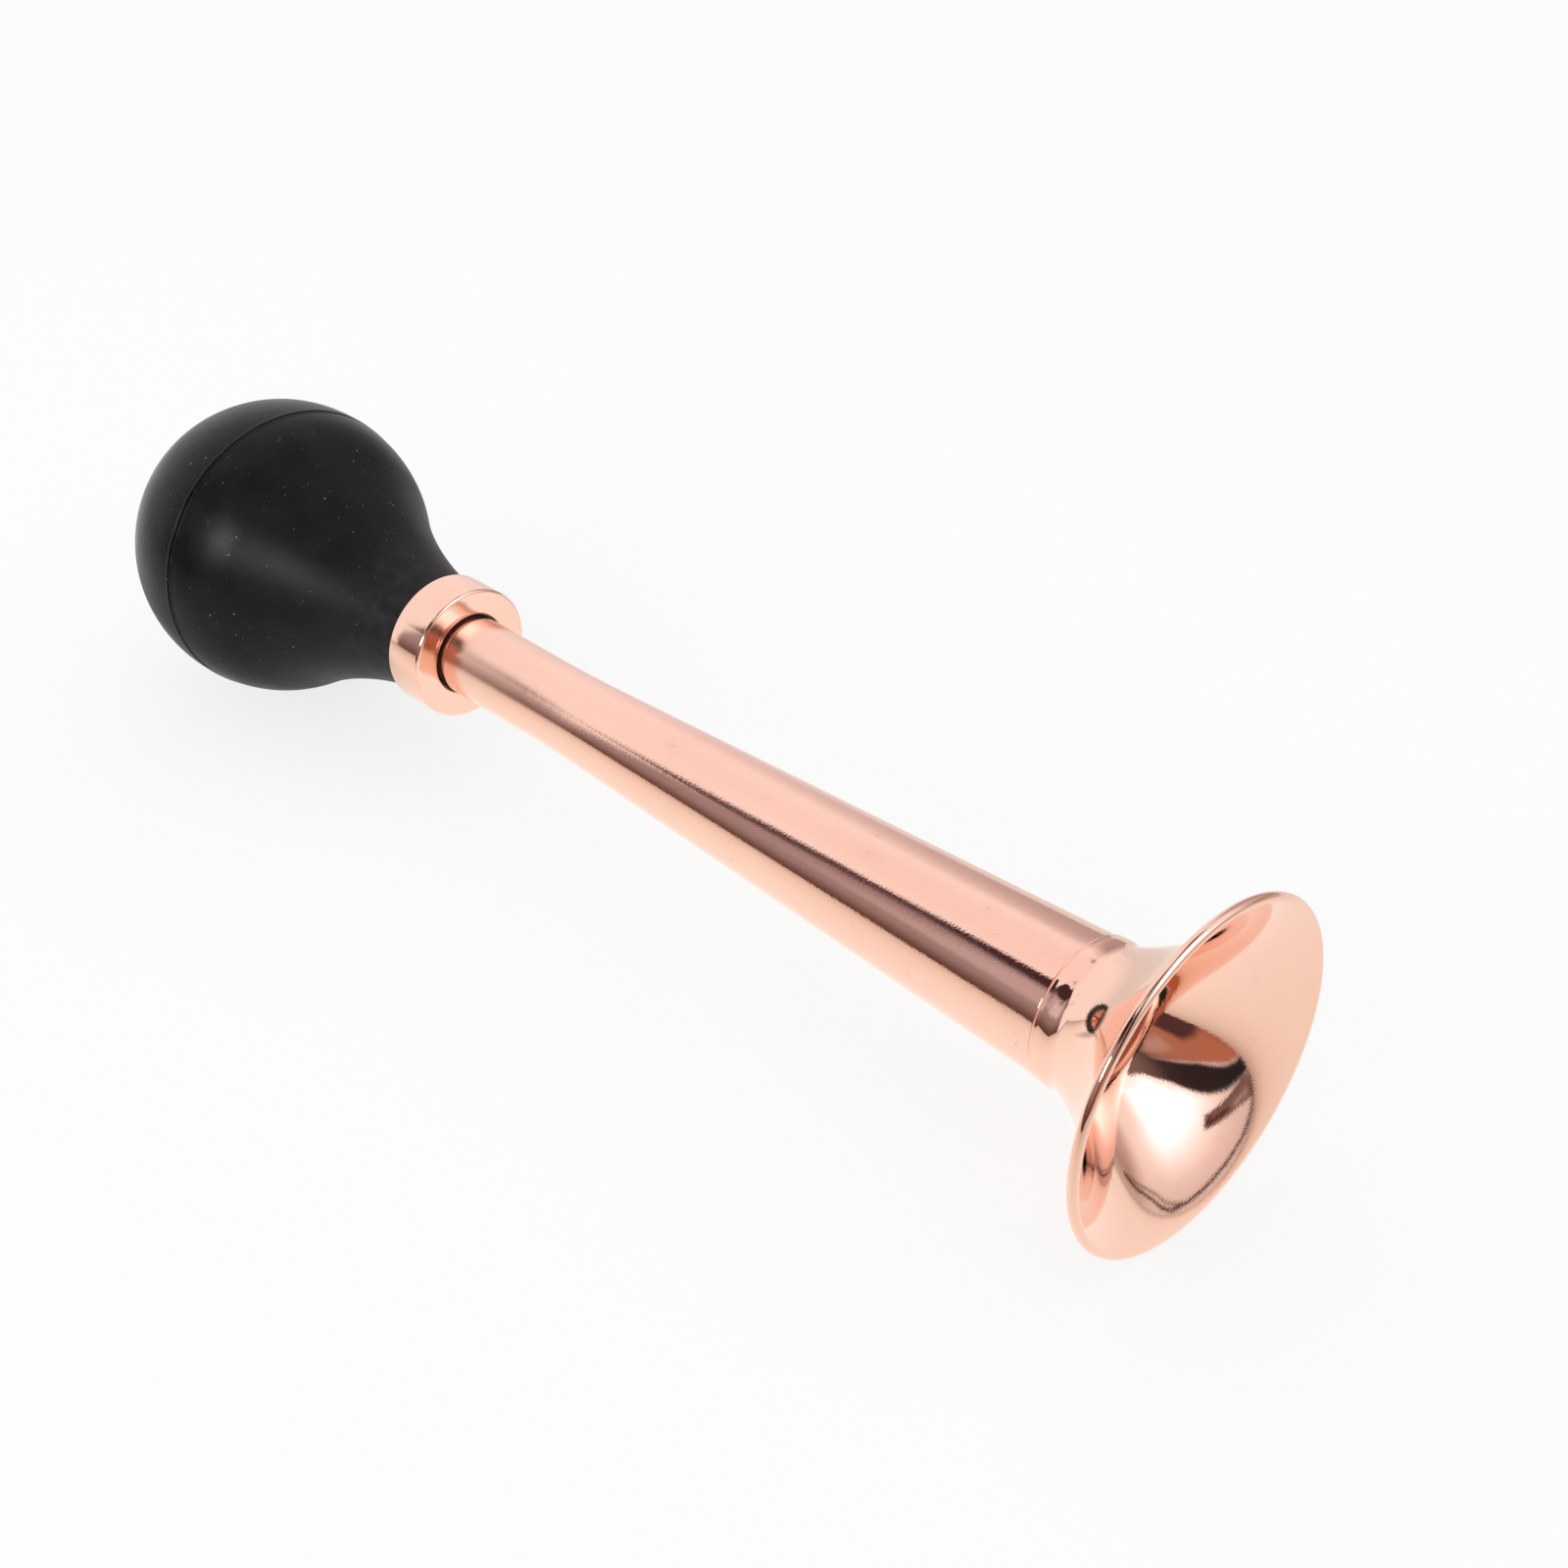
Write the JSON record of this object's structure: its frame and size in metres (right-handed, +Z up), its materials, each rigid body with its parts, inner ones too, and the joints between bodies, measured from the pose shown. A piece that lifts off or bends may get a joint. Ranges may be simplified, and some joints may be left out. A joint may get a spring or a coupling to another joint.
{
  "type": "bulb horn",
  "caption": "Hand horn with a round rubber squeeze bulb, a collar, a long tapered tube and a flared bell with a curled rim, sounded by a reed in the neck.",
  "frame": {"origin": "on the horn's axis, in the middle of the straight clamp seat of the tube in front of the collar", "axes": "+X along the horn's axis towards the mouth of the bell, +Z up with the horn lying on its side"},
  "size_m": [0.215, 0.05, 0.05],
  "materials": {
    "plated_bell": "polished copper plate",
    "plated_tube": "polished copper plate",
    "plated_collar": "polished copper plate",
    "bush_plastic": "moulded",
    "reed_brass": "turned",
    "shallot_brass": "turned",
    "tongue_bronze": "rolled",
    "wedge_brass": "filed",
    "rubber_front": "moulded satin",
    "rubber_rear": "moulded satin"
  },
  "bodies": {
    "horn": {"bell": "plated_bell", "horn_tube": "plated_tube", "reed_plug": "reed_brass", "reed_shallot": "shallot_brass", "reed_wedge": "wedge_brass"},
    "bulb": {"collar": "plated_collar", "neck_bush": "bush_plastic", "bulb_front": "rubber_front"},
    "bulb_end": {"bulb_rear": "rubber_rear"},
    "tongue": {"reed_tongue": "tongue_bronze"}
  },
  "joints": [
    {"name": "bulb_pull_off", "type": "slide", "parent": "horn", "child": "bulb", "axis": [-1, 0, 0], "range_m": [0, 0.04]},
    {"name": "bulb_squeeze", "type": "slide", "parent": "bulb", "child": "bulb_end", "axis": [1, 0, 0], "range_m": [0, 0.014], "stiffness_N_per_m": 900, "deforming": ["bulb_front"]},
    {"name": "reed_beat", "type": "hinge", "parent": "horn", "child": "tongue", "pos_m": [-0.0266, 0, 0.00082], "axis": [0, 1, 0], "range_deg": [-2.2, 1.5], "stiffness_Nm_per_rad": 0.01}
  ]
}
